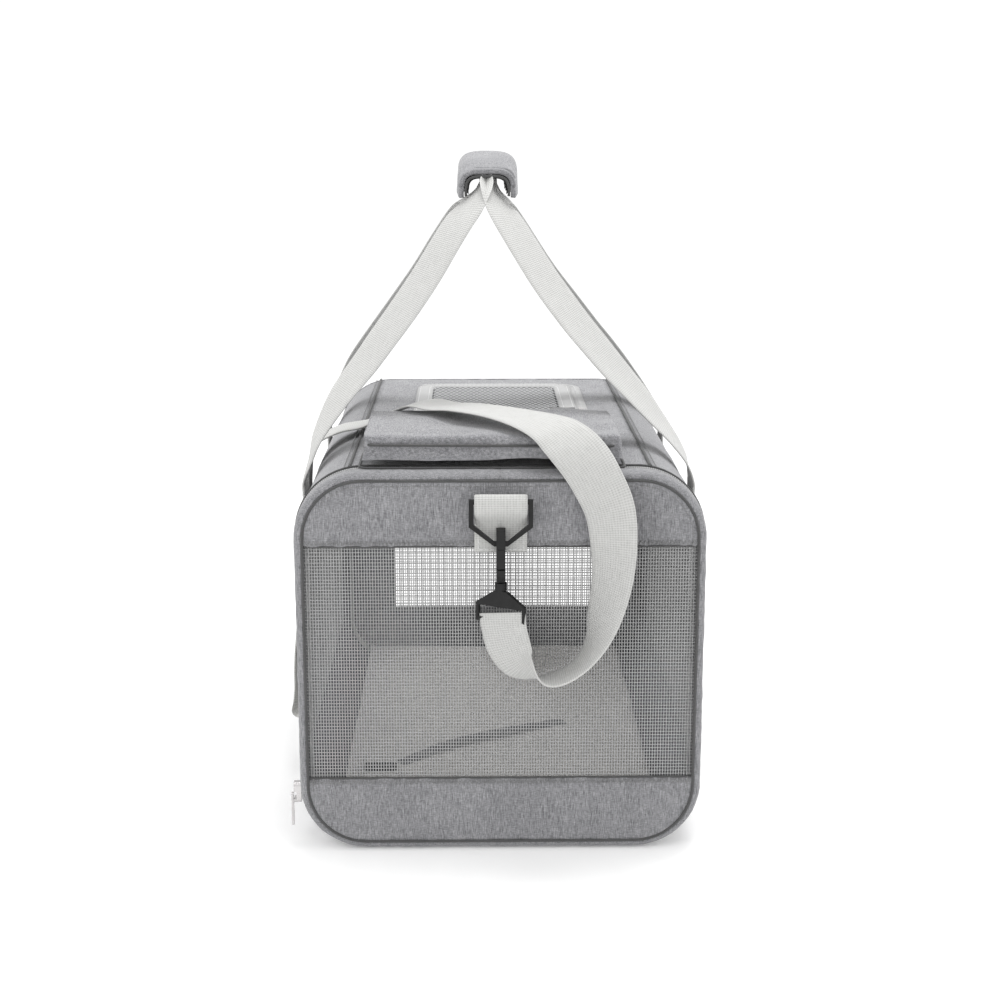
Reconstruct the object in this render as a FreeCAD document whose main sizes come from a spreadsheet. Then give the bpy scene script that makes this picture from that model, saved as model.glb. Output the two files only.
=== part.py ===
import FreeCAD, Part
import math
import os
import re

import Sketcher

# Soft-sided pet carrier.  X is the width, Y the length with the door end at -Y,
# Z is up.  The origin is the centre of the base, on the floor.  Millimetres.

DIMENSIONS = {
    "width": 300, "height": 290, "length": 450, "corner": 50,
    "wall": 3, "seam": 0.4, "gap": 0.3,
    "zip_line": 36, "zip_front": 17.5, "zip_back": 21, "tape": 1.5, "gusset": 13,
    "piping": 2, "band_low": 57, "band_high": 235, "mesh": 1,
    "post_front": 165, "post_rear": 165, "top_seam": 110,
    "rear_win_x": 100, "rear_win_low": 57, "rear_win_high": 240,
    "board_x": 108, "board_y": 196, "board_low": 4.4, "board": 3,
    "mat_x": 126, "mat_y": 196, "mat": 19, "mat_edge": 9,
    "pocket_left": 102, "pocket_right": 90, "pocket_front": 213, "pocket_back": 95,
    "pocket": 21, "pocket_edge": 9,
    "flap_left": 72, "flap_right": 66, "flap_front": 42, "flap_back": 173, "flap": 2,
    "flap_lap": 7, "flap_rim": 14,
    "webbing": 38, "web": 1.8, "web_y": 112, "web_low": 20,
    "grip_z": 492, "grip_y": 55, "grip_x": 5, "grip_lean": -8,
    "grip_wide": 46, "grip_high": 36, "hoop": 1.5, "hoop_in": 6,
    "ring_half": 23, "ring_top": 272, "ring_knee": 252, "ring_low": 238, "ring_foot": 5,
    "bar_size": 3.3, "ring_y": 10, "tab_low": 230, "hook_top": 250.5, "hook_out": 7.5, "hook_in": 4,
    "hook_low": 211, "hook_wide": 6.5, "nose": 237, "gate_low": 221.5, "gate_wide": 3,
    "base_top": 205, "base_knee": 195, "base_low": 181, "base_half": 20, "base_turn": 30,
    "tether": 13, "slider_wide": 9, "slider_tall": 16, "slider_out": 6,
    "pull_wide": 5, "pull_tall": 26, "pull": 1.6,
}

doc = FreeCAD.newDocument("pet_carrier")
sheet = doc.addObject("Spreadsheet::Sheet", "Dims")
for row, (alias, value) in enumerate(DIMENSIONS.items(), start=1):
    sheet.set(f"A{row}", alias)
    sheet.set(f"B{row}", str(value))
    sheet.setAlias(f"B{row}", alias)
doc.recompute()
parts = []


def dim(alias):
    return float(sheet.get(alias))


def bind(feature, prop, text):
    """Bind a property to a formula written with the sheet's plain aliases."""
    formula = re.sub(r"[a-z_]+", lambda word: "Dims." + word.group(0), text)
    feature.setExpression(prop, formula)


def add(kind, name, **links):
    feature = doc.addObject(kind, name)
    for key, value in links.items():
        setattr(feature, key, value)
    return feature


def box(name, low, high):
    """A box between two corners, each given as three formulas."""
    feature = add("Part::Box", name)
    for side, a, b in zip(("Length", "Width", "Height"), low, high):
        bind(feature, side, f"({b}) - ({a})")
    for axis, a in zip("xyz", low):
        bind(feature, f"Placement.Base.{axis}", a)
    return feature


def rounded(name, base, along, radius):
    """Round the edges of a box that run along one axis."""
    doc.recompute()
    fillet = add("Part::Fillet", name, Base=base)
    edges = []
    for number, edge in enumerate(base.Shape.Edges, start=1):
        run = edge.Vertexes[1].Point - edge.Vertexes[0].Point
        if abs(run.normalize().dot(along)) > 0.99:
            edges.append((number, radius, radius))
    fillet.Edges = edges
    return fillet


def cut(name, base, tool):
    return add("Part::Cut", name, Base=base, Tool=tool)


def common(name, base, tool):
    return add("Part::Common", name, Base=base, Tool=tool)


def fuse(name, shapes):
    return add("Part::MultiFuse", name, Shapes=shapes)


def part(feature, label):
    feature.Label = label
    parts.append(feature)
    return feature


def solid(label, shape):
    feature = doc.addObject("Part::Feature", label + "_solid")
    feature.Shape = shape
    return part(feature, label)


along_x = FreeCAD.Vector(1, 0, 0)
along_y = FreeCAD.Vector(0, 1, 0)
along_z = FreeCAD.Vector(0, 0, 1)


def prism(name, inset, front, back):
    """The carrier's rounded end shape, drawn in by inset, from front to back in Y."""
    low = (f"-width / 2 + {inset}", front, inset)
    high = (f"width / 2 - {inset}", back, f"height - {inset}")
    radius = dim("corner") - (dim(inset) if inset in DIMENSIONS else float(inset))
    return rounded(name, box(name + "_box", low, high), along_y, radius)


def tube(name, front, back, wall="wall"):
    outer = prism(name + "_out", "0", front, back)
    inner = prism(name + "_in", wall, f"({front}) - 1", f"({back}) + 1")
    return cut(name, outer, inner)


def zone(name, base, low, high):
    return common(name + "_cut", base, box(name + "_zone", low, high))


def region(label, base, low, high):
    return part(zone(label, base, low, high), label)


# ---- shell: fabric walls between the door zip and the rear seam --------------------
SHELL_FRONT, SHELL_BACK = "-length / 2 + zip_back", "length / 2 - wall - seam"


def shell_part(label, low, high):
    whole = tube(label + "_tube", SHELL_FRONT, SHELL_BACK)
    return region(label, whole, low, high)


front_edge, rear_edge = "-length / 2 - 5", "length / 2 + 5"
shell_part("bottom_panel", ("-width / 2 + corner + seam", front_edge, "-1"),
           ("width / 2 - corner - seam", rear_edge, "corner"))
top_fabric = zone("top_fabric", tube("top_fabric_tube", SHELL_FRONT, SHELL_BACK),
                  ("-top_seam + seam", front_edge, "height / 2"),
                  ("top_seam - seam", rear_edge, "height + 1"))
top_hole = box("top_hole", ("-flap_left + flap_lap", "-flap_front + flap_lap", "height - 9"),
               ("flap_right - flap_lap", "flap_back - flap_lap", "height + 9"))
part(cut("top_panel_cut", top_fabric, top_hole), "top_panel")

for side, sign in (("left", -1), ("right", 1)):
    def span(inner, outer):
        edges = (f"{sign} * ({inner})", f"{sign} * ({outer})")
        return edges if sign > 0 else edges[::-1]
    near, far = span("width / 2 - corner", "width / 2 + 1")
    shell_part(f"{side}_lower_band", (near, front_edge, "-1"), (far, rear_edge, "band_low"))
    for end, start, stop in (("front", front_edge, "-post_front"), ("rear", "post_rear", rear_edge)):
        shell_part(f"{side}_{end}_post", (near, start, "band_low + seam"),
                   (far, stop, "band_high - seam"))
    near, far = span("top_seam", "width / 2 + 1")
    shell_part(f"{side}_shoulder", (near, front_edge, "band_high"), (far, rear_edge, "height + 1"))
    near, far = span("width / 2 - 2 * mesh", "width / 2 - mesh")
    part(box(f"{side}_window", (near, "-post_front + seam", "band_low + seam"),
             (far, "post_rear - seam", "band_high - seam")), f"{side}_side_mesh")

# ---- rear end: a sewn panel with a mesh window and a corded seam -------------------
rear_plate = prism("rear_plate", "0", "length / 2 - wall", "length / 2")
rear_hole = box("rear_hole", ("-rear_win_x", "length / 2 - 9", "rear_win_low"),
                ("rear_win_x", "length / 2 + 9", "rear_win_high"))
part(cut("rear_frame", rear_plate, rear_hole), "rear_panel")
part(box("rear_window", ("-rear_win_x + seam", "length / 2 - 2 * mesh", "rear_win_low + seam"),
         ("rear_win_x - seam", "length / 2 - mesh", "rear_win_high - seam")), "rear_mesh")
rear_cord = cut("rear_cord", prism("cord_out", "0", "length / 2 + seam", "length / 2 + piping"),
                prism("cord_in", "piping", "length / 2 - 1", "length / 2 + 9"))
part(rear_cord, "rear_piping")

# ---- floor: stiff board under a padded mat ---------------------------------------
board = box("board_box", ("-board_x", "-board_y", "board_low"),
            ("board_x", "board_y", "board_low + board"))
part(rounded("board", board, along_z, 20), "base_board")
mat = box("mat_box", ("-mat_x", "-mat_y", "board_low + board"),
          ("mat_x", "mat_y", "board_low + board + mat"))
part(rounded("mat_pad", mat, along_y, dim("mat_edge")), "comfort_mat")


# ---- frame: two sprung steel wire hoops in the end seams ---------------------------
def hoop(name, place):
    outer = prism(name + "_out", "hoop_in", place, f"{place} + 2 * hoop")
    inset = dim("hoop_in") + 2 * dim("hoop")
    inner_box = box(name + "_hole", ("-width / 2 + hoop_in + 2 * hoop", f"{place} - 1",
                                     "hoop_in + 2 * hoop"),
                    ("width / 2 - hoop_in - 2 * hoop", f"{place} + 9",
                     "height - hoop_in - 2 * hoop"))
    inner = rounded(name + "_in", inner_box, along_y, dim("corner") - inset)
    return cut(name, outer, inner)


part(fuse("hoops", [hoop("front_hoop", "-length / 2 + zip_back + 2"),
                    hoop("rear_hoop", "length / 2 - 12")]), "wire_hoops")

# ---- door end: hinged fabric panel above the end of the zip, sewn sill below -------
UP, DOWN = "zip_line + gap", "zip_line - gap"
WIDE = ("-width", "width")


def above(label, base):
    return region(label, base, (WIDE[0], "-length", UP), (WIDE[1], "0", "height * 2"))


def below(label, base):
    return region(label, base, (WIDE[0], "-length", "-9"), (WIDE[1], "0", DOWN))


FACE, FACE_BACK = "-length / 2", "-length / 2 + wall"
above("door_gusset", tube("gusset_tube", "-length / 2 + wall + seam", "-length / 2 + gusset"))
below("sill_gusset", tube("sill_tube", "-length / 2 + wall + seam",
                          "-length / 2 + zip_back - seam"))
face = prism("face_plate", "0", FACE, FACE_BACK)
region("door_upper_band", face, (WIDE[0], "-length", "band_high + seam"),
       (WIDE[1], "0", "height + 9"))
region("door_lower_band", face, (WIDE[0], "-length", UP), (WIDE[1], "0", "band_low - seam"))
region("door_mesh", prism("mesh_plate", "0", "-length / 2 + mesh", "-length / 2 + 2 * mesh"),
       (WIDE[0], "-length", "band_low"), (WIDE[1], "0", "band_high"))
below("sill_panel", face)
cord = cut("door_cord", prism("door_cord_out", "0", "-length / 2 - piping", "-length / 2 - seam"),
           prism("door_cord_in", "piping", "-length / 2 - 9", "-length / 2 + 9"))
above("door_piping", cord)
below("sill_piping", cord)
above("door_zip_tape", tube("door_tape", "-length / 2 + gusset + seam", "-length / 2 + zip_front - gap",
                            "tape"))
above("body_zip_tape", tube("body_tape", "-length / 2 + zip_front + gap",
                            "-length / 2 + zip_back - seam", "tape"))


# ---- zip sliders and their pulls --------------------------------------------------
def box_at(name, centre, sizes):
    low = [f"{c} - ({s}) / 2" for c, s in zip(centre, sizes)]
    high = [f"{c} + ({s}) / 2" for c, s in zip(centre, sizes)]
    return box(name, low, high)


ZIP_Y, ZIP_X = "-length / 2 + zip_front", "-width / 2 - gap - slider_out / 2"
body = rounded("door_slider_round", box_at("door_slider_box", (ZIP_X, ZIP_Y, "zip_line + 4"),
               ("slider_out - gap", "slider_wide", "slider_tall")), along_x, 3)
slot = box_at("door_slider_slot", ("-width / 2 - slider_out", ZIP_Y, "zip_line + 2"),
              ("4", "slider_wide + 2", "6"))
part(cut("door_slider_cut", body, slot), "door_zip_slider")


def pull(name, centre, sizes, along):
    return rounded(name, box_at(name + "_box", centre, sizes), along, 1.5)


part(pull("door_pull", ("-width / 2 - slider_out - 1.4", ZIP_Y, "zip_line + 3 - pull_tall / 2"),
          ("pull", "pull_wide", "pull_tall"), along_x), "door_zip_pull")

# ---- roof pocket ------------------------------------------------------------------
pocket = box("pocket_box", ("-pocket_left", "-pocket_front", "height + seam"),
             ("pocket_right", "-pocket_back", "height + pocket"))
part(rounded("pocket_pad", pocket, along_x, dim("pocket_edge")), "roof_pocket")

# ---- roof flap: zipped mesh window over the roof opening --------------------------
flap_low = ("-flap_left", "-flap_front", "height + gap")
flap_high = ("flap_right", "flap_back", "height + gap + flap")
flap_rim = cut("flap_rim", rounded("flap_plate", box("flap_box", flap_low, flap_high), along_z, 12),
               box("flap_hole", ("-flap_left + flap_rim", "-flap_front + flap_rim", "height - 9"),
                   ("flap_right - flap_rim", "flap_back - flap_rim", "height + 9")))
part(flap_rim, "flap_binding")
part(box("flap_net", ("-flap_left + flap_rim + seam", "-flap_front + flap_rim + seam",
                      "height + gap"),
         ("flap_right - flap_rim - seam", "flap_back - flap_rim - seam",
          "height + gap + mesh")), "flap_mesh")
FLAP_ZIP_X, FLAP_ZIP_Y = "flap_right + gap + slider_wide / 2 + gap", "-flap_front + 10"
part(box("flap_tape", ("flap_right + gap", "-flap_front + gap", "height + gap"),
         ("flap_right + gap + slider_wide", "flap_back", "height + gap + 1")), "flap_zip_tape")
flap_body = rounded("flap_slider_round", box_at("flap_slider_box",
                    (FLAP_ZIP_X, FLAP_ZIP_Y, "height + 1.9 + slider_out / 2"),
                    ("slider_wide - gap", "slider_tall", "slider_out - gap")), along_z, 3)
flap_slot = box_at("flap_slider_slot", (FLAP_ZIP_X, "-flap_front + 11", "height + 1.9 + slider_out"),
                   ("slider_wide + 2", "6", "4"))
part(cut("flap_slider_cut", flap_body, flap_slot), "flap_zip_slider")
part(pull("flap_pull", (FLAP_ZIP_X, "-flap_front + 10 + pull_tall / 2",
                        "height + 2.85 + slider_out"),
          ("pull_wide", "pull_tall", "pull"), along_z), "flap_zip_pull")


# ---- webbing: flat ribbons set by hand-placed stations -----------------------------
def vector(values):
    return FreeCAD.Vector(*values)


def ribbon_shape(stations, wide, thick):
    """A flat ribbon: each station is a point and the direction of the width there."""
    points = [vector(place) for place, _ in stations]
    sections = []
    for number, (_, across) in enumerate(stations):
        before = points[max(number - 1, 0)]
        after = points[min(number + 1, len(points) - 1)]
        run = (after - before).normalize()
        side = vector(across)
        side = (side - run * side.dot(run)).normalize()
        lift = run.cross(side)
        sections.append([points[number] + side * (a * wide / 2) + lift * (b * thick / 2)
                         for a, b in ((-1, -1), (1, -1), (1, 1), (-1, 1))])
    faces = [flat_face(sections[0]), flat_face(sections[-1])]
    for here, beyond in zip(sections, sections[1:]):
        for k in range(4):
            n = (k + 1) % 4
            faces += [flat_face([here[k], here[n], beyond[k]]),
                      flat_face([here[n], beyond[n], beyond[k]])]
    return Part.makeSolid(Part.makeShell(faces))


def flat_face(corners):
    return Part.Face(Part.makePolygon(corners + corners[:1]))


def ribbon(label, stations, wide="webbing"):
    length = sum((vector(b[0]) - vector(a[0])).Length for a, b in zip(stations, stations[1:]))
    print(f"{label}: {length:.0f} mm of webbing")
    return solid(label, ribbon_shape(stations, dim(wide), dim("web")))


def mirrored(stations, flip):
    """The same stations on another side, moved in X by the lean of the left or right side."""
    return [([p[0] * flip[0] + leans[flip[0] > 0], p[1] * flip[1], p[2]],
             [a * b for a, b in zip(w, flip)]) for p, w, leans in stations]


half, web_y = dim("width") / 2, dim("web_y")
grip_y, grip_z, grip_x = dim("grip_y"), dim("grip_z"), dim("grip_x")
leg = [
    ([half + 1.3, -web_y, 262], [0, 1, 0], (0, 0)),
    ([half - 3, -web_y, 276], [0.1, 1, 0], (0, 0)),
    ([half - 13, -web_y, 295], [0.25, 1, 0], (-4, -2)),
    ([112, -web_y + 5, 325], [0.4, 0.9, 0.15], (-12, -2)),
    ([82, -web_y + 13, 359], [0.42, 0.83, 0.31], (-16, -2)),
    ([47.5, -web_y + 25, 406], [0.45, 0.8, 0.35], (-16, -5)),
    ([22, -web_y + 37, 450], [0.5, 0.8, 0.25], (-14, -8)),
    ([13, -web_y + 39, 471], [0.5, 0.8, 0.15], (-12, -10)),
]
sewn_runs = []
grip_runs = []
for side, sx in (("left", -1), ("right", 1)):
    for end, sy in (("front", 1), ("rear", -1)):
        ribbon(f"{side}_handle_{end}_leg", mirrored(leg, (sx, sy, 1)))
    grip_runs.append(box(f"{side}_grip_web",
                 (f"grip_lean + {sx} * grip_x - web / 2", "-grip_y + 4", "grip_z - 15"),
                 (f"grip_lean + {sx} * grip_x + web / 2", "grip_y - 4", "grip_z + 11")))
    for sy in (-1, 1):
        sewn_runs.append(box_at(f"{side}_sewn_{sy + 1}",
                           (f"{sx} * (width / 2 + seam + web / 2)", f"{sy} * web_y",
                            "(web_low + height) / 2 - 8"),
                           ("web", "webbing", "height - web_low - 50")))
part(fuse("grip_web", grip_runs), "handle_tops")
part(fuse("sewn_web", sewn_runs), "side_webbing")

# ---- grip: padded wrap round both handles, closed by a hook-and-loop flap ----------
grip_low = ("grip_lean - grip_wide / 2", "-grip_y", "grip_z - grip_high / 2")
grip_high = ("grip_lean + grip_wide / 2", "grip_y", "grip_z + grip_high / 2 - 3")
grip_out = rounded("grip_out", box("grip_box", grip_low, grip_high), along_y, 10)
grip_in = rounded("grip_in", box("grip_hole", ("grip_lean - grip_x - 3", "-grip_y - 1", "grip_z - 16"),
                                 ("grip_lean + grip_x + 3", "grip_y + 1", "grip_z + 12")), along_y, 2)
part(cut("grip_cut", grip_out, grip_in), "grip_wrap")
part(rounded("grip_tab", box("grip_tab_box", ("grip_lean - grip_wide / 2 + 4", "-grip_y + 3",
                                              "grip_z + grip_high / 2 - 2.7"),
                             ("grip_lean + grip_wide / 2 - 8", "grip_y - 3", "grip_z + grip_high / 2")),
             along_z, 8), "grip_flap")


# ---- D-rings, their tabs and the swivel hooks at both ends -------------------------
def value_of(formula):
    """The number that a formula gives, worked out in a spare cell of the sheet."""
    sheet.set("D1", "=" + formula)
    sheet.recompute()
    return float(sheet.get("D1"))


def outline(name, plane, loops, thick):
    """A padded sketch whose corners are tied to the sheet's formulas."""
    plate = doc.addObject("PartDesign::Body", name)
    sketch = plate.newObject("Sketcher::SketchObject", name + "_sketch")
    roles = {item.Role: item for item in plate.Origin.OriginFeatures}
    sketch.AttachmentSupport = [(roles[plane], "")]
    sketch.MapMode = "FlatFace"
    for loop in loops:
        spots = [FreeCAD.Vector(value_of(a), value_of(b), 0) for a, b in loop]
        first = sketch.GeometryCount
        for a, b in zip(spots, spots[1:] + spots[:1]):
            sketch.addGeometry(Part.LineSegment(a, b))
        for number, (across, up) in enumerate(loop):
            edge, following = first + number, first + (number + 1) % len(loop)
            sketch.addConstraint(Sketcher.Constraint("Coincident", edge, 2, following, 1))
            spot = spots[number]
            for kind, formula, size in (("DistanceX", across, spot.x), ("DistanceY", up, spot.y)):
                rule = Sketcher.Constraint(kind, -1, 1, edge, 1, size)
                bind(sketch, f"Constraints[{sketch.addConstraint(rule)}]", formula)
    pad = plate.newObject("PartDesign::Pad", name + "_pad")
    pad.Profile = sketch
    pad.Midplane = True
    bind(pad, "Length", thick)
    return plate


def mirror_x(points):
    return [(f"-({a})", b) for a, b in reversed(points)]


ring_side = [("ring_half", "ring_top"), ("ring_half", "ring_knee"), ("ring_foot", "ring_low")]
ring_hole = [("ring_half - bar_size", "ring_top - bar_size"),
             ("ring_half - bar_size", "ring_knee + bar_size / 2"),
             ("ring_foot", "ring_low + bar_size")]
base_side = [("5", "base_top"), ("base_half", "base_knee"), ("base_half", "base_low")]
base_hole = [("base_half - 2", "base_knee - 2"), ("base_half - 2", "base_low + bar_size")]
hook_line = [("hook_out", "nose"), ("hook_out", "hook_top - 4"), ("hook_in", "hook_top"),
             ("-hook_in", "hook_top"), ("-hook_out", "hook_top - 4"),
             ("-hook_out", "hook_low + 6"), ("-hook_wide / 2", "hook_low"),
             ("hook_wide / 2", "hook_low"), ("hook_out", "hook_low + 6"),
             ("hook_out", "gate_low"), ("hook_in", "gate_low"), ("hook_in", "gate_low - 2"),
             ("-hook_in + 0.5", "gate_low - 2"),
             ("-hook_in + 0.5", "ring_low + bar_size + gap"),
             ("hook_in", "ring_low + bar_size + gap"), ("hook_in", "nose")]

for end, sy in (("front", -1), ("rear", 1)):
    ring_place = f"{sy} * (length / 2 + ring_y)"
    ring = outline(f"{end}_ring", "XZ_Plane",
                   [ring_side + mirror_x(ring_side), ring_hole + mirror_x(ring_hole)], "bar_size")
    bind(ring, "Placement.Base.y", ring_place)
    part(ring, f"{end}_d_ring")

    tab = box_at(f"{end}_tab_back", ("0", f"{sy} * (length / 2 + seam + web / 2)",
                                     "(tab_low + ring_top) / 2 - 4"),
                 ("webbing", "web", "ring_top - tab_low - 8"))
    loop_deep = "ring_y + bar_size / 2 + gap + web - seam"
    loop = box_at(f"{end}_tab_loop", ("0", f"{sy} * (length / 2 + seam + ({loop_deep}) / 2)",
                                      "ring_top - bar_size / 2"),
                  ("webbing", loop_deep, "bar_size + 2 * gap + 2 * web + 6"))
    hollow = box_at(f"{end}_tab_hollow", ("0", ring_place, "ring_top - bar_size / 2"),
                    ("webbing + 2", "bar_size + 2 * gap", "bar_size + 2 * gap"))
    part(cut(f"{end}_tab_cut", fuse(f"{end}_tab", [tab, loop]), hollow), f"{end}_ring_tab")

    hook = outline(f"{end}_hook_body", "YZ_Plane", [hook_line], "hook_wide")
    hook.Placement.Rotation = FreeCAD.Rotation(along_z, 0 if sy > 0 else 180)
    bind(hook, "Placement.Base.y", ring_place)
    part(hook, f"{end}_snap_hook")

    gate_y = f"{sy} * (length / 2 + ring_y + hook_in + 0.2 + gate_wide / 2)"
    gate = box_at(f"{end}_gate_bar", ("0", gate_y, "(gate_low + 1.8 + nose - 0.4) / 2"),
                  ("hook_wide - 1", "gate_wide", "nose - 0.4 - gate_low - 1.8"))
    pin = add("Part::Cylinder", f"{end}_gate_pin")
    bind(pin, "Radius", "gate_wide / 2")
    bind(pin, "Height", "hook_wide - 1")
    pin.Placement.Rotation = FreeCAD.Rotation(FreeCAD.Vector(0, 1, 0), 90)
    bind(pin, "Placement.Base.x", "-(hook_wide - 1) / 2")
    bind(pin, "Placement.Base.y", gate_y)
    bind(pin, "Placement.Base.z", "gate_low + 1.8")
    part(fuse(f"{end}_gate_fuse", [gate, pin]), f"{end}_hook_gate")

    base = outline(f"{end}_base", "XZ_Plane",
                   [base_side + mirror_x(base_side), base_hole + mirror_x(base_hole)], "bar_size")
    base.Placement.Rotation = FreeCAD.Rotation(along_z, dim("base_turn") * sy)
    bind(base, "Placement.Base.y", f"{sy} * (length / 2 + ring_y + 2)")
    collar = add("Part::Cylinder", f"{end}_collar")
    bind(collar, "Radius", "hook_wide / 2 + 1")
    bind(collar, "Height", "hook_low - base_top")
    bind(collar, "Placement.Base.y", ring_place)
    bind(collar, "Placement.Base.z", "base_top - 0.2")
    part(fuse(f"{end}_swivel", [base, collar]), f"{end}_hook_base")

# ---- shoulder strap: one length of webbing from hook to hook -----------------------
out = dim("length") / 2
turned = [math.cos(math.radians(dim("base_turn"))), -math.sin(math.radians(dim("base_turn"))), 0]
rear_turned = [turned[0], -turned[1], 0]
ribbon("strap_front", [
    ([3, -out - 15, 177], turned),
    ([6, -out - 16, 163], turned),
    ([14, -out - 18, 150], [0.6, -0.7, 0.4]),
    ([32, -out - 21, 141], [0.1, -1, 0.1]),
    ([50, -out - 21, 146], [0, -1, 0]),
    ([64, -out - 20, 161], [0.2, -1, 0]),
    ([73, -out - 20, 185], [0.5, -0.8, 0]),
    ([79, -out - 20, 214], [0.7, -0.7, 0]),
    ([80, -out - 19, 242], [0.8, -0.5, 0.1]),
    ([77, -out - 15, 266], [0.85, -0.3, 0.4]),
    ([68, -out - 10, 286], [0.8, -0.1, 0.6]),
    ([60, -out - 5, 299], [0.75, 0.15, 0.6]),
])
ribbon("strap_top", [
    ([57, -out - 3, 303], [0.75, 0.2, 0.6]),
    ([47, -out + 5, 312], [0.75, 0.35, 0.4]),
    ([34, -out + 17, 320], [0.75, 0.5, 0.2]),
    ([8, -out + 44, 324], [0.7, 0.7, 0.05]),
    ([-22, -out + 80, 323], [0.6, 0.8, 0]),
    ([-42, -out + 106, 320], [0.55, 0.85, 0]),
    ([-62, -out + 131, 318], [0.5, 0.87, 0]),
    ([-86, -out + 155, 306], [0.3, 0.95, 0]),
    ([-106, -out + 163, 296.5], [0.1, 1, 0]),
    ([-128, -out + 164, 291.6], [0, 1, 0]),
    ([-147, -out + 164, 280], [0, 1, 0]),
    ([-153, -out + 164, 257], [0, 1, 0]),
])
ribbon("strap_side", [
    ([-153.3, -out + 164, 253], [0, 1, 0]),
    ([-154, -out + 166, 170], [0, 1, 0]),
    ([-154, -out + 170, 95], [0, 1, 0]),
    ([-156, -out + 174, 62], [0, 1, 0.1]),
    ([-162, -out + 178, 52], [0, 1, 0.1]),
    ([-169, -out + 184, 60], [0, 1, -0.1]),
    ([-171, -out + 198, 88], [0, 0.95, -0.3]),
    ([-168, -out + 230, 134], [0, 0.8, -0.6]),
    ([-163, -out + 286, 174], [0, 0.6, -0.8]),
    ([-159, -out + 346, 197], [0, 0.35, -0.95]),
    ([-156, -out + 400, 205], [0.05, 0.1, -1]),
    ([-155, -out + 438, 205], [0, 0, -1]),
])
ribbon("strap_rear", [
    ([-155, out - 9, 205], [0, 0, -1]),
    ([-155, out + 5, 204], [0, 0, -1]),
    ([-147, out + 15, 203], [0, 0, -1]),
    ([-130, out + 20, 198], [0, 0.1, -1]),
    ([-104, out + 23, 185], [-0.3, 0.3, -1]),
    ([-78, out + 23, 166], [-0.4, 0.6, -0.8]),
    ([-48, out + 23, 150], [-0.2, 1, -0.5]),
    ([-24, out + 22, 146], [0.2, 1, -0.1]),
    ([-9, out + 18, 154], [0.6, 0.8, 0]),
    ([-3, out + 16, 167], rear_turned),
    ([-1, out + 15, 178], rear_turned),
])

# ---- safety tether lying on the mat -----------------------------------------------
deck = dim("board_low") + dim("board") + dim("mat") + dim("web") / 2 + 0.3
ribbon("safety_tether", [
    ([-80, -124, deck], [-0.5, 0.8, 0]),
    ([-40, -90, deck + 4], [-0.6, 0.8, 0]),
    ([10, -56, deck + 3], [-0.5, 0.8, 0]),
    ([56, -27, deck], [-0.6, 0.8, 0]),
], "tether")
clip = box_at("clip_box", ("-95", "-135", "board_low + board + mat + 3"), ("26", "12", "5"))
part(rounded("clip_round", clip, along_z, 4), "tether_clip")

# ---- check every feature, then write one file a sub-part ---------------------------
doc.recompute()
for item in doc.Objects:
    if "Invalid" in item.State or "Error" in item.State:
        raise RuntimeError(f"{item.Name} failed: {item.State}")
os.makedirs("parts", exist_ok=True)
for item in parts:
    shape = item.Shape
    if shape.isNull() or not shape.isValid() or shape.Volume < 1:
        raise RuntimeError(f"{item.Label} has no sound shape")
    shape.exportStep(f"parts/{item.Label}.step")
print(len(parts), "sub-parts written")
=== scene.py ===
import math

import bpy
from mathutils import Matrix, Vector, noise


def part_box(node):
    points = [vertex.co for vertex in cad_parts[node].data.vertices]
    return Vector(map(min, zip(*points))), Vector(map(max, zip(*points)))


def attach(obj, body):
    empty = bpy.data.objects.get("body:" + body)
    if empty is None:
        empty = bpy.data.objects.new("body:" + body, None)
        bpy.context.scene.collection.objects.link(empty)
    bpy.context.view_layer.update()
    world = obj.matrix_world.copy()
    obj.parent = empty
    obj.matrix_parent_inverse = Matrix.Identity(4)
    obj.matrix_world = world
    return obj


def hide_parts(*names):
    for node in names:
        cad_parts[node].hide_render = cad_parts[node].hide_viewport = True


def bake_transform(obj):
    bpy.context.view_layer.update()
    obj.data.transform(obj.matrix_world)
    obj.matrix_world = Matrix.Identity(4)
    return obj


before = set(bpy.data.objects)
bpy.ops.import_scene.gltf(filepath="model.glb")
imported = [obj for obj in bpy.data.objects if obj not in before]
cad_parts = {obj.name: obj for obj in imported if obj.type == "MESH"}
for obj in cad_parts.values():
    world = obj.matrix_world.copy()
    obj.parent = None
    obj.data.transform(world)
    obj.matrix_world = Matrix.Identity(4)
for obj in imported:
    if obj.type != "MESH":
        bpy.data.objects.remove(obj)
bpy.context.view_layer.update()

# Driving sizes of the carrier, in metres, as in the CAD part.
WIDTH, HEIGHT, LENGTH, CORNER = 0.300, 0.290, 0.450, 0.050
FRONT, REAR = -LENGTH / 2, LENGTH / 2
SEAM_IN = 0.007            # the piped seam's distance in from the end panel's outline
HINGE_Z = 0.036            # where the door's zip ends and its fabric folds
BAND_LOW, BAND_HIGH = 0.057, 0.235
POST = 0.165               # half the length of a side window
TOP_SEAM = 0.110
ZIP_FRONT, ZIP_BACK = FRONT + 0.0175, FRONT + 0.021
CLOTH = 0.0022
MM = 0.001
TAU = 2 * math.pi


# ---- camera: in front of the zipped end, a little above, as in the photograph -------
def look_from(place, target, focal):
    camera = bpy.data.objects.new("camera", bpy.data.cameras.new("camera"))
    bpy.context.collection.objects.link(camera)
    camera.location = place
    camera.rotation_euler = (Vector(target) - Vector(place)).to_track_quat("-Z", "Y").to_euler()
    camera.data.lens = focal
    camera.data.sensor_width = 36
    camera.data.clip_start = 0.01
    bpy.context.scene.camera = camera


CAMERA_PLACE, CAMERA_AIM, FOCAL = (-0.017, -1.394, 0.535), (-0.0005, -0.225, 0.2695), 60.1
look_from(CAMERA_PLACE, CAMERA_AIM, FOCAL)


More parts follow.
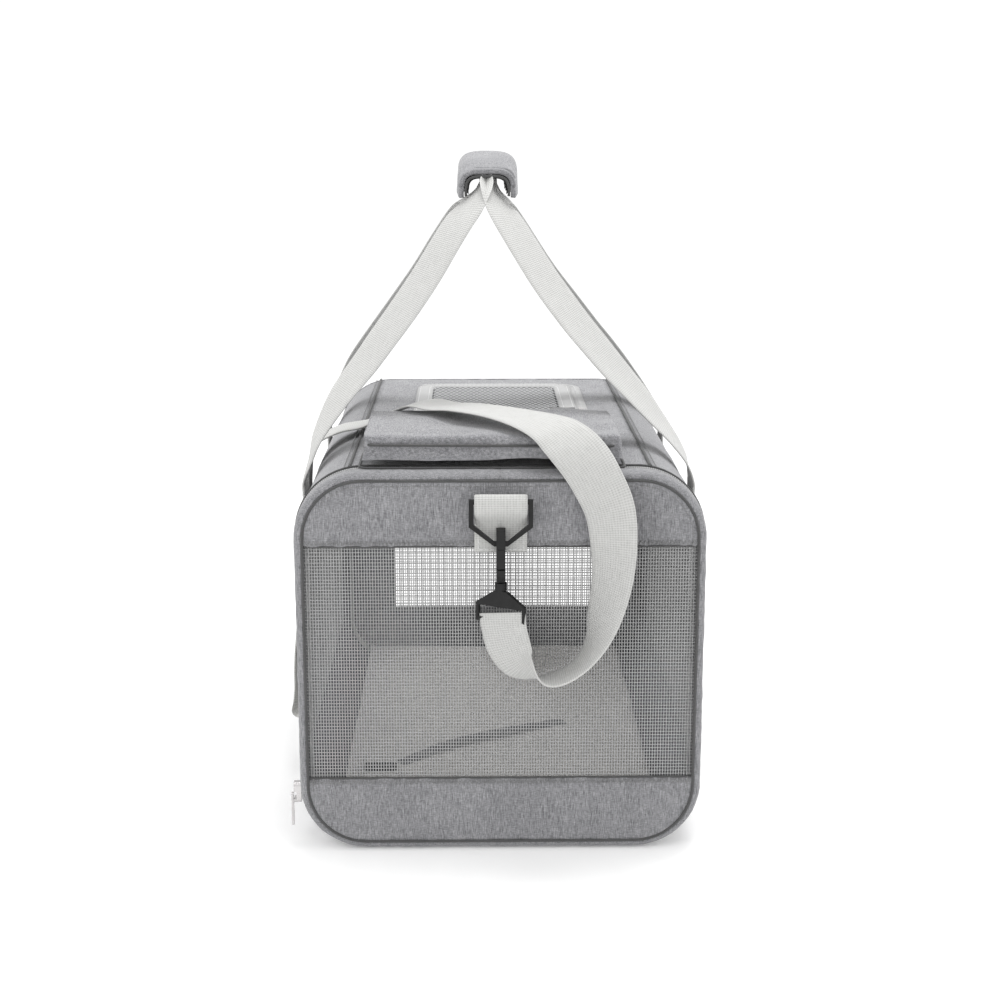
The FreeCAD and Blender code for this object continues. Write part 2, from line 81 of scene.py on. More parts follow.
# ---- materials ----------------------------------------------------------------------
class Shader:
    """A Principled material with short ways to add procedural detail."""

    def __init__(self, name, rough, **sockets):
        self.made = bpy.data.materials.new(name)
        self.made.use_nodes = True
        self.nodes = self.made.node_tree.nodes
        self.links = self.made.node_tree.links
        self.bsdf = self.nodes["Principled BSDF"]
        self.bsdf.inputs["Roughness"].default_value = rough
        for socket, value in sockets.items():
            self.bsdf.inputs[socket.replace("_", " ")].default_value = value
        self.coords = self.nodes.new("ShaderNodeTexCoord")

    def add(self, kind, links=(), **values):
        node = self.nodes.new(kind)
        for key, value in values.items():
            if hasattr(node, key):
                setattr(node, key, value)
            else:
                node.inputs[key.replace("_", " ")].default_value = value
        for socket, source in links:
            self.links.new(source, node.inputs[socket])
        return node

    def scaled(self, scale, uv=False):
        source = self.coords.outputs["UV" if uv else "Object"]
        return self.add("ShaderNodeMapping", [("Vector", source)], Scale=scale).outputs[0]

    def noise(self, scale, uv=False, detail=3.0, rough=0.6):
        return self.add("ShaderNodeTexNoise", [("Vector", self.scaled(scale, uv))],
                        Scale=1.0, Detail=detail, Roughness=rough).outputs["Fac"]

    def math(self, operation, a, b):
        node = self.add("ShaderNodeMath", operation=operation)
        for socket, value in zip(node.inputs, (a, b)):
            if isinstance(value, (int, float)):
                socket.default_value = value
            else:
                self.links.new(value, socket)
        return node.outputs[0]

    def ramp(self, source, *stops):
        node = self.add("ShaderNodeValToRGB", [("Fac", source)])
        elements = node.color_ramp.elements
        while len(elements) < len(stops):
            elements.new(0.5)
        for element, (place, colour) in zip(elements, stops):
            element.position = place
            element.color = (*colour, 1)
        return node.outputs["Color"]

    def colour(self, source):
        self.links.new(source, self.bsdf.inputs["Base Color"])

    def bump(self, source, depth, strength=1.0):
        node = self.add("ShaderNodeBump", [("Height", source)], Strength=strength, Distance=depth)
        self.links.new(node.outputs[0], self.bsdf.inputs["Normal"])


def grey(level, warm=0.0, blue=0.0):
    return (level * (1 + warm), level, level * (1 + blue))


def heather(name, long_axis, level=0.30):
    """Melange polyester: dark and light yarns run along one axis over a plain weave. level sets the
    overall tone and also carries painted light: the roof copy is set lighter, the end copy darker.
    """
    s = Shader(name, 0.88, Sheen_Weight=0.25, Sheen_Roughness=0.5, Specular_IOR_Level=0.25)
    fine, slow = 2600, 170
    warp = s.noise([slow if k == long_axis else fine for k in range(3)], detail=2)
    weft = s.noise([fine if k == long_axis else 420 for k in range(3)], detail=2)
    cloud = s.noise((38, 38, 38), detail=2)
    mix = s.math("ADD", s.math("MULTIPLY", warp, 0.58), s.math("MULTIPLY", weft, 0.34))
    mix = s.math("ADD", mix, s.math("MULTIPLY", cloud, 0.08))
    s.colour(s.ramp(mix, (0.34, grey(level * 0.36, blue=0.05)), (0.47, grey(level * 0.82, blue=0.05)),
                    (0.60, grey(level * 1.35, blue=0.03)), (0.72, grey(level * 2.0, blue=0.02))))
    threads = s.math("ADD", s.noise((fine, fine, fine), detail=1), mix)
    s.bump(threads, 0.00025, 0.6)
    return s.made


def webbing_cloth(name, level):
    """Ribbed webbing: picks across the width and a fine lengthwise rib, on the ribbon's UVs."""
    s = Shader(name, 0.72, Sheen_Weight=0.3, Sheen_Roughness=0.4, Specular_IOR_Level=0.3)
    ribs = s.add("ShaderNodeTexWave", [("Vector", s.scaled((1, 1, 1), uv=True))],
                 bands_direction="Y", Scale=1 / 0.0016 / 3.18).outputs["Fac"]
    warps = s.add("ShaderNodeTexWave", [("Vector", s.scaled((1, 1, 1), uv=True))],
                  bands_direction="X", Scale=1 / 0.0022 / 3.18).outputs["Fac"]
    slub = s.noise((900, 120, 900), uv=True, detail=3)
    weave = s.math("ADD", s.math("MULTIPLY", ribs, 0.6), s.math("MULTIPLY", warps, 0.4))
    tone = s.math("ADD", s.math("MULTIPLY", weave, 0.45), s.math("MULTIPLY", slub, 0.55))
    s.colour(s.ramp(tone, (0.2, grey(level * 0.74, 0.0, -0.03)), (0.5, grey(level, 0.0, -0.025)),
                    (0.8, grey(level * 1.12, 0.0, -0.02))))
    s.bump(weave, 0.0004, 0.8)
    return s.made


def plain_cloth(name, low, high, depth=0.0002, scale=1500, rough=0.85, warm=0.0):
    s = Shader(name, rough, Sheen_Weight=0.2, Specular_IOR_Level=0.25)
    fibres = s.math("ADD", s.math("MULTIPLY", s.noise((scale,) * 3, detail=4), 0.7),
                    s.math("MULTIPLY", s.noise((60, 60, 60)), 0.3))
    s.colour(s.ramp(fibres, (0.3, grey(low, warm, -warm)), (0.7, grey(high, warm, -warm))))
    s.bump(fibres, depth, 0.7)
    return s.made


def moulded(name, low, high, rough, depth=0.00005, **sockets):
    s = Shader(name, rough, **sockets)
    grain = s.noise((1800, 1800, 1800), detail=3)
    wear = s.noise((90, 90, 90), detail=4)
    s.colour(s.ramp(wear, (0.35, low), (0.75, high)))
    s.links.new(s.add("ShaderNodeMapRange", [("Value", wear)], From_Min=0.3, From_Max=0.8,
                      To_Min=rough * 0.8, To_Max=min(1, rough * 1.25)).outputs[0],
                s.bsdf.inputs["Roughness"])
    s.bump(grain, depth, 0.5)
    return s.made


# Two copies of one heather: the roof copy is a little lighter as painted light from above, and the end
# and wall copy is darker as painted shade.
HEATHER_END_PAINTED_SHADE = heather("heather_fabric", 2, 0.235)
HEATHER_TOP_PAINTED_LIT = heather("heather_fabric_roof_painted_lit", 1, 0.25)
WEBBING = webbing_cloth("pale_webbing", 0.50)
THREAD = plain_cloth("mesh_yarn", 0.34, 0.46, 0.00008, 2500, 0.55)
STITCH = plain_cloth("sewing_thread", 0.14, 0.26, 0.00005, 4000, 0.7)
PALE_STITCH = plain_cloth("pale_thread", 0.55, 0.7, 0.00005, 4000, 0.7)
PIPING = plain_cloth("piping_cord", 0.045, 0.10, 0.0003, 1600)
TAPE = plain_cloth("zip_tape", 0.34, 0.48, 0.0002, 2200)
TEETH = moulded("zip_coil", grey(0.42), grey(0.55), 0.4)
DARK_TEETH = moulded("zip_coil_dark", grey(0.03), grey(0.06), 0.4)
BINDING = plain_cloth("grosgrain_binding", 0.34, 0.44, 0.0002, 1900)
NETTING = plain_cloth("spacer_netting", 0.36, 0.48, 0.0002, 1900, warm=-0.012)
MAT_CLOTH = plain_cloth("mat_pile", 0.66, 0.80, 0.0006, 700, 0.95, warm=0.03)
# Black hook tape and lining; the same cloth is also the painted shade on the roof netting's hole walls.
BLACK_CLOTH_AND_PAINTED_SHADE = plain_cloth("black_hook_tape_and_painted_hole_shade", 0.012, 0.03, 0.0003, 1500)
LINING = plain_cloth("grey_lining", 0.10, 0.18, 0.0002, 1500)
BLACK = moulded("black_acetal", grey(0.006), grey(0.016), 0.5, Specular_IOR_Level=0.28)
NICKEL = moulded("nickel", grey(0.50, 0.03), grey(0.64, 0.02), 0.28, Metallic=1.0)
STEEL = moulded("spring_steel", grey(0.42), grey(0.55), 0.35, Metallic=1.0)
BOARD = moulded("stiff_board", grey(0.05), grey(0.09), 0.6, 0.0002)


# ---- making pieces ----------------------------------------------------------------
def piece(name, verts, faces, material, body="root", nodes=(), slot=None, uvs=None, smooth=True):
    mesh = bpy.data.meshes.new(name)
    mesh.from_pydata([tuple(v) for v in verts], [], faces)
    if uvs:
        layer = mesh.uv_layers.new(name="run")
        for loop in mesh.loops:
            layer.data[loop.index].uv = uvs[loop.vertex_index]
    mesh.materials.append(material)
    mesh.polygons.foreach_set("use_smooth", [smooth] * len(mesh.polygons))
    mesh.update()
    made = bpy.data.objects.new(name, mesh)
    bpy.context.collection.objects.link(made)
    if body:
        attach(made, body)
    if nodes:
        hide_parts(*nodes)
    return made


def thicken(made, thick, offset=-1.0):
    layer = made.modifiers.new("thickness", "SOLIDIFY")
    layer.thickness = thick
    layer.offset = offset
    layer.use_rim = True
    return made


def soften(made, width, segments=2):
    edge = made.modifiers.new("edges", "BEVEL")
    edge.width = width
    edge.segments = segments
    edge.limit_method = "ANGLE"
    return made


def steps(stops, size):
    """Even steps of about one size between each pair of stops."""
    values = [stops[0]]
    for low, high in zip(stops, stops[1:]):
        count = max(1, round(abs(high - low) / size))
        values += [low + (high - low) * k / count for k in range(1, count + 1)]
    return values


def grid(name, across, along, place, material, skip=None, **rest):
    """A sheet over two lists of coordinates, with a hole where skip says."""
    verts = [place(a, b) for b in along for a in across]
    wide = len(across)
    faces = []
    for j in range(len(along) - 1):
        for i in range(wide - 1):
            middle = (across[i] + across[i + 1]) / 2, (along[j] + along[j + 1]) / 2
            if skip and skip(*middle):
                continue
            low = j * wide + i
            faces.append((low, low + 1, low + wide + 1, low + wide))
    return piece(name, verts, faces, material, **rest)


def outline_at(u, inset=0.0):
    """The end outline: a point and its outward normal, u metres round from the roof's middle."""
    flat_x, flat_z, bend = WIDTH - 2 * CORNER, HEIGHT - 2 * CORNER, CORNER * math.pi / 2
    lengths = [flat_x / 2, bend, flat_z, bend, flat_x, bend, flat_z, bend, flat_x / 2]
    u %= sum(lengths)
    heading, x, z = 0.0, 0.0, HEIGHT
    for number, run in enumerate(lengths):
        turn = 0.0 if number % 2 == 0 else min(u, run) / CORNER
        reach = min(u, run)
        if number % 2 == 0:
            x, z = x + math.cos(heading) * reach, z - math.sin(heading) * reach
        else:
            cx, cz = x - math.sin(heading) * CORNER, z - math.cos(heading) * CORNER
            heading += turn
            x, z = cx + math.sin(heading) * CORNER, cz + math.cos(heading) * CORNER
        if u <= run:
            break
        u -= run
    out = Vector((math.sin(heading), 0, math.cos(heading)))
    return Vector((x, 0, z)) - out * inset, out


PERIMETER = 2 * (WIDTH + HEIGHT) - 8 * CORNER + TAU * CORNER


def u_of(z):
    """Distance round the outline, on the right side, where it comes down to a height."""
    low, high = 0.0, PERIMETER / 2
    for _ in range(40):
        middle = (low + high) / 2
        low, high = (middle, high) if outline_at(middle)[0].z > z else (low, middle)
    return low


def relief(p, edge, size=1.0):
    """Soft cloth relief: slow slack, and small puckers that die away from a sewn edge."""
    slack = noise.noise(p * 16) * 0.0011 + noise.noise(p * 45) * 0.0004
    pucker = noise.noise(p * 170) * 0.0009 * math.exp(-edge / 0.007)
    return (slack * min(1, edge / 0.012) + pucker) * size


def half_width(z, inset):
    """Half the end outline's width at a height."""
    r = CORNER - inset
    over = max(0.0, z - (HEIGHT - CORNER), CORNER - z)
    return WIDTH / 2 - CORNER + math.sqrt(max(0.0, r * r - over * over))


def rows(low, high, inset, size=0.006):
    """Heights from low to high, close together where the corners curve."""
    r = CORNER - inset
    arc = [HEIGHT - CORNER + r * math.sin(k / 12 * math.pi / 2) for k in range(13)]
    arc += [CORNER - r * math.sin(k / 12 * math.pi / 2) for k in range(13)]
    values = steps([low, high], size) + [z for z in arc if low < z < high]
    values.sort()
    kept = [values[0]]
    for z in values[1:-1]:
        if z - kept[-1] > 0.0007 and values[-1] - z > 0.0004:
            kept.append(z)
    return kept + [values[-1]]


NARROW = 0.01              # width that declare compares a band against; it returns the piece unchanged either way


def declare(made, wide, tall, area=None):
    if min(wide, tall) < NARROW:
        return made
    return made


# ---- ribbons of webbing --------------------------------------------------------------
def smooth_path(values, count):
    """Catmull-Rom through the values, count steps a span."""
    points = [Vector(v) for v in values]
    ends = [points[0] * 2 - points[1]] + points + [points[-1] * 2 - points[-2]]
    path = []
    for a, b, c, d in zip(ends, ends[1:], ends[2:], ends[3:]):
        for k in range(count):
            t = k / count
            path.append(0.5 * (2 * b + (c - a) * t + (2 * a - 5 * b + 4 * c - d) * t * t
                               + (3 * b - a - 3 * c + d) * t ** 3))
    return path + [points[-1]]


def ribbon(name, stations, body="root", nodes=(), wide=0.038, thick=0.0016, count=10,
           material=None, cup=0.0008, slot="webbing"):
    """A flat woven band through stations, each a place and the direction of its width, in mm."""
    path = smooth_path([[c * MM for c in place] for place, _ in stations], count)
    sides = smooth_path([side for _, side in stations], count)
    shape = [(-1.0, 0.0), (-0.97, 0.8)] + [(k / 4, 1.0) for k in range(-3, 4)]
    shape += [(0.97, 0.8), (1.0, 0.0), (0.97, -0.8)] + [(k / 4, -1.0) for k in range(3, -4, -1)]
    shape += [(-0.97, -0.8)]
    verts, uvs, run = [], [], 0.0
    for number, point in enumerate(path):
        ahead = path[min(number + 1, len(path) - 1)] - path[max(number - 1, 0)]
        ahead.normalize()
        side = sides[number] - ahead * sides[number].dot(ahead)
        side.normalize()
        lift = ahead.cross(side)
        if number:
            run += (point - path[number - 1]).length
        wander = noise.noise(point * 30) * 0.0004
        for a, b in shape:
            bow = cup * (1 - a * a) + wander
            verts.append(point + side * (a * wide / 2) + lift * (b * thick / 2 + bow))
            uvs.append((a * wide / 2, run))
    n = len(shape)
    faces = [tuple(range(n - 1, -1, -1)), tuple(range(len(verts) - n, len(verts)))]
    for j in range(len(path) - 1):
        faces += [(j * n + k, j * n + (k + 1) % n, (j + 1) * n + (k + 1) % n, (j + 1) * n + k)
                  for k in range(n)]
    made = piece(name, verts, faces, material or WEBBING, body, nodes, slot, uvs)
    return declare(made, wide, run)


# ---- tubes, stitches and zip teeth ----------------------------------------------------
def tube(name, path, radius, material, closed=True, sides=8, **rest):
    verts, faces = [], []
    count = len(path)
    for number, point in enumerate(path):
        after = path[(number + 1) % count] if closed else path[min(number + 1, count - 1)]
        before = path[number - 1] if closed or number else path[0]
        ahead = (after - before).normalized()
        side = ahead.orthogonal() if abs(ahead.y) > 0.9 else ahead.cross(Vector((0, 1, 0)))
        side.normalize()
        up = ahead.cross(side)
        for k in range(sides):
            turn = TAU * k / sides
            verts.append(point + (side * math.cos(turn) + up * math.sin(turn)) * radius)
    for j in range(count if closed else count - 1):
        m = (j + 1) % count
        faces += [(j * sides + k, j * sides + (k + 1) % sides, m * sides + (k + 1) % sides,
                   m * sides + k) for k in range(sides)]
    if not closed:
        faces += [tuple(range(sides - 1, -1, -1)), tuple(range((count - 1) * sides, count * sides))]
    return piece(name, verts, faces, material, **rest)


def beads(name, spots, material, body="root", slot=None):
    """Many small rounded blocks as one piece: each spot is centre, along, out and three sizes."""
    verts, faces = [], []
    ring = [(-1, -0.6), (-0.6, -1), (0.6, -1), (1, -0.6), (1, 0.6), (0.6, 1), (-0.6, 1), (-1, 0.6)]
    for centre, along, out, (long, wide, tall) in spots:
        along = along.normalized()
        out = (out - along * out.dot(along)).normalized()
        side = along.cross(out)
        base = len(verts)
        for reach, swell in ((-0.5, 0.55), (-0.32, 1.0), (0.32, 1.0), (0.5, 0.55)):
            for a, b in ring:
                verts.append(centre + along * (reach * long) + side * (a * swell * wide / 2)
                             + out * (b * swell * tall / 2))
        n = len(ring)
        faces += [tuple(base + k for k in range(n - 1, -1, -1)),
                  tuple(base + 3 * n + k for k in range(n))]
        for j in range(3):
            faces += [(base + j * n + k, base + j * n + (k + 1) % n,
                       base + (j + 1) * n + (k + 1) % n, base + (j + 1) * n + k) for k in range(n)]
    return piece(name, verts, faces, material, body, slot=slot)


def walk(path, pitch):
    """Even places along a polyline, with the direction there."""
    left = pitch / 2
    for a, b in zip(path, path[1:]):
        span = (b - a).length
        while left <= span and span > 0:
            yield a + (b - a) * (left / span), (b - a) / span
            left += pitch
        left -= span


def stitches(name, path, out, material, body="root", long=0.0028, gap=0.0012):
    out = Vector(out)
    spots = [(p, d, out, (long, 0.0007, 0.0006)) for p, d in walk(path, long + gap)]
    return beads(name, spots, material, body)


def zigzag(name, start, end, out, material, body, tall=0.0035, pitch=0.0016):
    start, end, out = Vector(start), Vector(end), Vector(out)
    up = (end - start).normalized().cross(out) * tall / 2
    spots = []
    for number, (p, d) in enumerate(walk([start, end], pitch)):
        lean = up if number % 2 else -up
        spots.append((p, d * pitch + lean * 2, out, (tall * 1.05, 0.0005, 0.0005)))
    return beads(name, spots, material, body)


def mesh_window(name, low, high, axis, depth, material, body, nodes, pitch=(0.0020, 0.00255)):
    """Open netting: two layers of real yarns that cross. axis is the direction it faces."""
    (a0, b0), (a1, b1) = low, high
    verts, faces = [], []
    up_axis = 1 if axis == 2 else 2
    flat = [k for k in range(3) if k not in (axis, up_axis)][0]

    def yarn(fixed, run, first, last, at, shift, half=0.00032):
        base = len(verts)
        for reach in (first, last):
            for da, db in ((-1, 0), (0, -0.75), (1, 0), (0, 0.75)):
                v = [0.0, 0.0, 0.0]
                v[fixed] = at + da * half
                v[run] = reach
                v[axis] = depth + shift + db * half
                verts.append(v)
        faces.extend([(base + k, base + (k + 1) % 4, base + 4 + (k + 1) % 4, base + 4 + k)
                      for k in range(4)])
        faces.extend([(base + 3, base + 2, base + 1, base), (base + 4, base + 5, base + 6, base + 7)])

    for at in steps([a0, a1], pitch[0]):
        yarn(flat, up_axis, b0, b1, at, -0.00016)
    for at in steps([b0, b1], pitch[1]):
        yarn(up_axis, flat, a0, a1, at, 0.00016)
    made = piece(name, verts, faces, material, body, nodes, "mesh", smooth=False)
    return declare(made, a1 - a0, b1 - b0)


# ---- door end --------------------------------------------------------------------------
U_HINGE = u_of(HINGE_Z)


def end_band(name, low, high, sign, nodes, body, material=HEATHER_END_PAINTED_SHADE, holes=None, stops=None):
    """A flat stretch of an end panel inside its piped seam, crowned a little."""
    face = FRONT if sign < 0 else REAR

    def place(a, z):
        x = a * half_width(z, SEAM_IN - 0.001)
        edge = min(half_width(z, SEAM_IN) * (1 - abs(a)), high - z, z - low) + 0.0005
        p = Vector((x, face, z))
        return p + Vector((0, sign, 0)) * (relief(p, max(edge, 0.0)) + 0.0002)

    wide = WIDTH / 2 - SEAM_IN
    across = steps([c / wide for c in (stops or (-wide, wide))], 0.025)
    zs = rows(low, high, SEAM_IN - 0.001) if not holes else sorted(
        set(rows(low, high, SEAM_IN - 0.001)) | set(holes))
    if sign > 0:
        across = across[::-1]
    skip = None
    if holes:
        def skip(a, z):
            return abs(a) * wide < stops[-2] and holes[0] < z < holes[1]
    made = grid(name, across, zs, place, material, skip, body=body, nodes=nodes, slot="heather_fabric")
    thicken(made, CLOTH, -1)
    return made


def build_door():
    wide = WIDTH - 2 * SEAM_IN
    declare(end_band("door_upper_panel", BAND_HIGH, HEIGHT - SEAM_IN, -1, ["door_upper_band"],
                     "front_door"), wide, HEIGHT - SEAM_IN - BAND_HIGH)
    lower = end_band("front_lower_panel", SEAM_IN, BAND_LOW, -1, ["door_lower_band", "sill_panel"],
                     None)
    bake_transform(lower)
    declare(lower, wide, BAND_LOW - SEAM_IN)
    mesh_window("door_netting", (-wide / 2, BAND_LOW - 0.003), (wide / 2, BAND_HIGH + 0.003), 1,
                FRONT + 0.0016, THREAD, "front_door", ["door_mesh"])
    for name, z in (("upper", BAND_HIGH), ("lower", BAND_LOW)):
        lean = 0.0028 if name == "upper" else -0.0028
        zigzag(f"door_{name}_zigzag", (-wide / 2, FRONT - 0.0004, z + lean),
               (wide / 2, FRONT - 0.0004, z + lean), (0, -1, 0), STITCH, "front_door")
        edge = [Vector((x, FRONT + 0.0004, z)) for x in steps([-wide / 2, wide / 2], 0.006)]
        tube(f"door_{name}_hem", edge, 0.0009, PIPING, closed=False, body="front_door",
             slot="piping")

    ring = steps([0, PERIMETER], 0.006)[:-1]
    cord_path = []
    for u in ring:
        p, _ = outline_at(u, SEAM_IN - 0.0004)
        cord_path.append(p + Vector((0, FRONT - 0.0003, 0)))
    cord = tube("door_piping_cord", cord_path, 0.0010, PIPING, body=None,
                nodes=["door_piping", "sill_piping"], slot="piping")
    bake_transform(cord)

    profile = [(SEAM_IN - 0.001, 0.0002), (0.0045, -0.0003), (0.0022, 0.0009), (0.0007, 0.0032),
               (0.0, 0.0062), (0.0, 0.0100), (0.0, 0.0128)]

    def place(number, u):
        inset, back = profile[int(number)]
        p, out = outline_at(u, inset)
        p = p + Vector((0, FRONT + back, 0))
        lift = relief(p, 0.002, 0.7) if 0 < number < len(profile) - 1 else 0
        return p + (out - Vector((0, 1, 0)) * (0.8 if number < 3 else 0)) * lift

    gusset = grid("door_gusset_band", list(range(len(profile)))[::-1], ring + [PERIMETER], place,
                  HEATHER_END_PAINTED_SHADE, body=None, nodes=["door_gusset", "sill_gusset"],
                  slot="heather_fabric")
    thicken(gusset, CLOTH)
    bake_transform(gusset)
    declare(gusset, 0.0165, PERIMETER * 0.97)
    fall = [Vector((0, FRONT - 0.0002, 0)) + outline_at(u, SEAM_IN + 0.0035)[0]
            for u in ring if abs((u + PERIMETER / 2) % PERIMETER - PERIMETER / 2) < U_HINGE]
    fall.sort(key=lambda p: math.atan2(p.x, p.z - 0.145))
    stitches("door_topstitch", fall, (0, -1, 0), STITCH, "front_door")


def ring_part(name, y0, y1, inset, material, body, nodes, slot, thick=0.0012, bottom=False):
    """A band round the sides and roof, down to the end of the zip."""
    reach = PERIMETER / 2 if bottom else U_HINGE
    us = steps([-reach, reach], 0.006)
    made = grid(name, us, steps([y0, y1], 0.003),
                lambda u, y: outline_at(u, inset)[0] + Vector((0, y, 0)),
                material, body=body, nodes=nodes, slot=slot)
    thicken(made, thick, -1)
    return declare(made, abs(y1 - y0), 2 * reach)


def build_zip():
    ring_part("door_tape", FRONT + 0.0126, ZIP_FRONT - 0.0004, 0.0006, TAPE, "front_door",
              ["door_zip_tape"], "zip_tape")
    ring_part("body_tape", ZIP_FRONT + 0.0004, ZIP_BACK + 0.0012, 0.0006, TAPE, "root",
              ["body_zip_tape"], "zip_tape")
    for body, y, material in (("front_door", ZIP_FRONT - 0.0009, TEETH),
                              ("root", ZIP_FRONT + 0.0009, DARK_TEETH)):
        spots = []
        for u in steps([-U_HINGE + 0.001, U_HINGE - 0.001], 0.0016):
            p, out = outline_at(u, 0.0004)
            spots.append((p + Vector((0, y, 0)), Vector((0, 1, 0)), out, (0.0016, 0.0009, 0.0012)))
        beads(f"{body}_zip_teeth", spots, material, body, "zip_tape")


# ---- walls ----------------------------------------------------------------------------
def wall(name, u0, u1, y0, y1, nodes, material=HEATHER_END_PAINTED_SHADE, stops_y=None, stops_u=None, skip=None,
         area=None):
    """A fabric wall on the outline between two distances round it and two lengths."""
    us, ys = steps(stops_u or [u0, u1], 0.006), steps(stops_y or [y0, y1], 0.007)

    def place(u, y):
        p, out = outline_at(u)
        p = p + Vector((0, y, 0))
        edge = min(u - u0, u1 - u, y - y0, y1 - y)
        low = 0.0 if p.z < 0.02 else 1.0
        return p + out * (relief(p, max(edge, 0.0), low) - 0.0006 * low)

    made = grid(name, us, ys, place, material, skip, nodes=nodes, slot="heather_fabric")
    thicken(made, CLOTH, -1)
    return declare(made, abs(u1 - u0), abs(y1 - y0), area=area)


def build_walls():
    y0, y1 = ZIP_BACK + 0.0004, REAR - 0.006
    u_top, u_high, u_low = TOP_SEAM, u_of(BAND_HIGH), u_of(BAND_LOW)
    u_base = PERIMETER / 2 - (WIDTH / 2 - CORNER)
    wall("floor_panel", u_base, PERIMETER - u_base, y0, y1, ["bottom_panel"])
    for side, sign in (("left", -1), ("right", 1)):
        def span(a, b):
            return (a, b) if sign > 0 else (PERIMETER - b, PERIMETER - a)
        wall(f"{side}_lower_side", *span(u_low, u_base), y0, y1, [f"{side}_lower_band"])
        wall(f"{side}_shoulder_panel", *span(u_top, u_high), y0, y1, [f"{side}_shoulder"])
        wall(f"{side}_front_side", *span(u_high, u_low), y0, -POST, [f"{side}_front_post"])
        wall(f"{side}_rear_side", *span(u_high, u_low), POST, y1, [f"{side}_rear_post"])
        x = sign * (WIDTH / 2 - 0.0016)
        mesh_window(f"{side}_netting", (-POST - 0.003, BAND_LOW - 0.003),
                    (POST + 0.003, BAND_HIGH + 0.003), 0, x, THREAD, "root", [f"{side}_side_mesh"])
        out = (sign, 0, 0)
        face = sign * (WIDTH / 2 + 0.0003)
        frame_path = [Vector((face, y, z)) for y, z in (
            (-POST - 0.004, BAND_LOW - 0.004), (POST + 0.004, BAND_LOW - 0.004),
            (POST + 0.004, BAND_HIGH + 0.004), (-POST - 0.004, BAND_HIGH + 0.004),
            (-POST - 0.004, BAND_LOW - 0.004))]
        stitches(f"{side}_window_stitch", frame_path, out, STITCH)
        hem = [p + Vector((0, 0.004 * (-1 if p.y > 0 else 1), 0.004 * (-1 if p.z > 0.1 else 1)))
               for p in frame_path]
        hem = [a + (b - a) * t for a, b in zip(hem, hem[1:]) for t in (0, 0.25, 0.5, 0.75)]
        tube(f"{side}_window_piping", hem, 0.0011, PIPING, slot="piping")
        seam = [outline_at(sign * u_top, -0.0002)[0] + Vector((0, y, 0))
                for y in steps([y0, y1], 0.01)]
        tube(f"{side}_roof_piping", seam, 0.0012, PIPING, closed=False, slot="piping")
        stitches(f"{side}_roof_stitch", [p + Vector((sign * 0.004, 0, -0.0004)) for p in seam],
                 (0, 0, 1), STITCH)
    ring = [outline_at(u, -0.0002)[0] + Vector((0, y0 + 0.0008, 0))
            for u in steps([-U_HINGE, U_HINGE], 0.006)]
    tube("zip_edge_fold", ring, 0.0009, PIPING, closed=False, slot="piping")


FLAP_X, FLAP_Y, FLAP_LAP = (-0.072, 0.070), (-0.042, 0.173), 0.007


def build_roof():
    y0, y1 = ZIP_BACK + 0.0004, REAR - 0.006
    hole_x = (FLAP_X[0] + FLAP_LAP, FLAP_X[1] - FLAP_LAP)
    hole_y = (FLAP_Y[0] + FLAP_LAP, FLAP_Y[1] - FLAP_LAP)

    def inside(u, y):
        return hole_x[0] < u < hole_x[1] and hole_y[0] < y < hole_y[1]

    hole = (hole_x[1] - hole_x[0]) * (hole_y[1] - hole_y[0])
    wall("roof_panel", -TOP_SEAM, TOP_SEAM, y0, y1, ["top_panel"], HEATHER_TOP_PAINTED_LIT,
         stops_u=[-TOP_SEAM, *hole_x, TOP_SEAM], stops_y=[y0, *hole_y, y1], skip=inside,
         area=2 * TOP_SEAM * (y1 - y0) - hole)
    build_flap()


def rounded_loop(x0, x1, y0, y1, z, r, count=8):
    """A closed path round a rounded rectangle, on the roof."""
    path = []
    for cx, cy, first in ((x1 - r, y1 - r, 0), (x0 + r, y1 - r, 1), (x0 + r, y0 + r, 2),
                          (x1 - r, y0 + r, 3)):
        for k in range(count + 1):
            turn = (first + k / count) * math.pi / 2
            path.append(Vector((cx + r * math.cos(turn), cy + r * math.sin(turn), z)))
    return path


